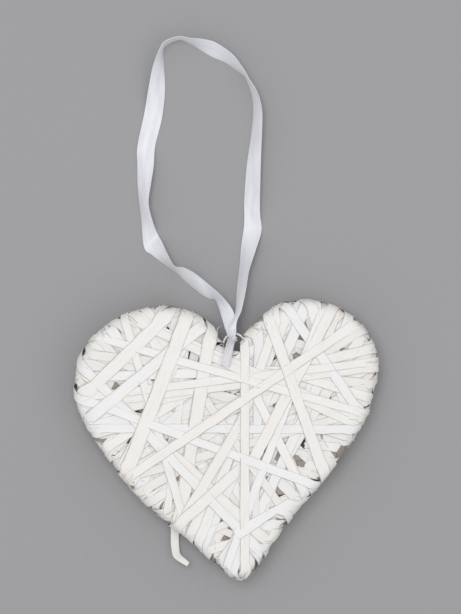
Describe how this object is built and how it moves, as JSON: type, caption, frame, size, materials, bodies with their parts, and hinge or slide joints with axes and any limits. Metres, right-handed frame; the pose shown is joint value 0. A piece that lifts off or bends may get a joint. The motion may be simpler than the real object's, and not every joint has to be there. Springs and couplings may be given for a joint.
{
  "type": "woven wood-strip heart",
  "caption": "Flat heart wound from thin painted wood strips, with a small wire ring in its cleft and a satin ribbon loop to hang it by; it lies on its back.",
  "frame": {"origin": "on the surface the heart lies on, under the middle of the heart without its ribbon", "axes": "+Y from the heart's tip to its lobes and the ribbon, +Z out of its front, +X to the right seen from the front"},
  "size_m": [0.2006, 0.3592, 0.0335],
  "materials": {
    "paint_warm_white": "thin matt white paint over wood grain",
    "paint_cool_white": "thin matt white paint over wood grain, a little cooler",
    "paint_cream_white": "thin matt white paint over wood grain, a little creamier",
    "coated_wire": "white plastic coating on wire",
    "satin_ribbon": "satin weave, soft sheen"
  },
  "bodies": {
    "root": {"wood_strip_01": "paint_warm_white", "wood_strip_02": "paint_cool_white", "wood_strip_03": "paint_cream_white", "wood_strip_04": "paint_warm_white", "wood_strip_05": "paint_cool_white", "wood_strip_06": "paint_cream_white", "wood_strip_07": "paint_warm_white", "wood_strip_08": "paint_cool_white", "wood_strip_09": "paint_cream_white", "wood_strip_10": "paint_warm_white", "wood_strip_11": "paint_cool_white", "wood_strip_12": "paint_cream_white", "wood_strip_13": "paint_warm_white", "wood_strip_14": "paint_cool_white", "wood_strip_15": "paint_cream_white", "wood_strip_16": "paint_warm_white", "wood_strip_17": "paint_cool_white", "wood_strip_18": "paint_cream_white", "wood_strip_19": "paint_warm_white", "wood_strip_20": "paint_cool_white", "wood_strip_21": "paint_cream_white", "wood_strip_22": "paint_warm_white", "wood_strip_23": "paint_cool_white", "wood_strip_24": "paint_cream_white", "wood_strip_25": "paint_warm_white", "wood_strip_26": "paint_cool_white", "wood_strip_27": "paint_cream_white", "wood_strip_28": "paint_warm_white", "wood_strip_29": "paint_cool_white", "wood_strip_30": "paint_cream_white", "wood_strip_31": "paint_warm_white", "wood_strip_32": "paint_cool_white", "wood_strip_33": "paint_cream_white", "wood_strip_34": "paint_warm_white", "wood_strip_35": "paint_cool_white", "wood_strip_36": "paint_cream_white", "wood_strip_37": "paint_warm_white", "wood_strip_38": "paint_cool_white", "wood_strip_39": "paint_cream_white", "wood_strip_40": "paint_warm_white", "wood_strip_41": "paint_cool_white", "wood_strip_42": "paint_cream_white", "wood_strip_43": "paint_warm_white", "wood_strip_44": "paint_cool_white", "wood_strip_45": "paint_cream_white", "wood_strip_46": "paint_warm_white", "wood_strip_47": "paint_cool_white", "wood_strip_48": "paint_cream_white", "wood_strip_49": "paint_warm_white", "wood_strip_50": "paint_cool_white", "wood_strip_51": "paint_cream_white", "wood_strip_52": "paint_warm_white", "loose_strip": "paint_warm_white", "hanging_ring": "coated_wire", "ribbon_loop": "satin_ribbon", "ribbon_tail": "satin_ribbon", "ribbon_knot": "satin_ribbon"}
  },
  "joints": []
}
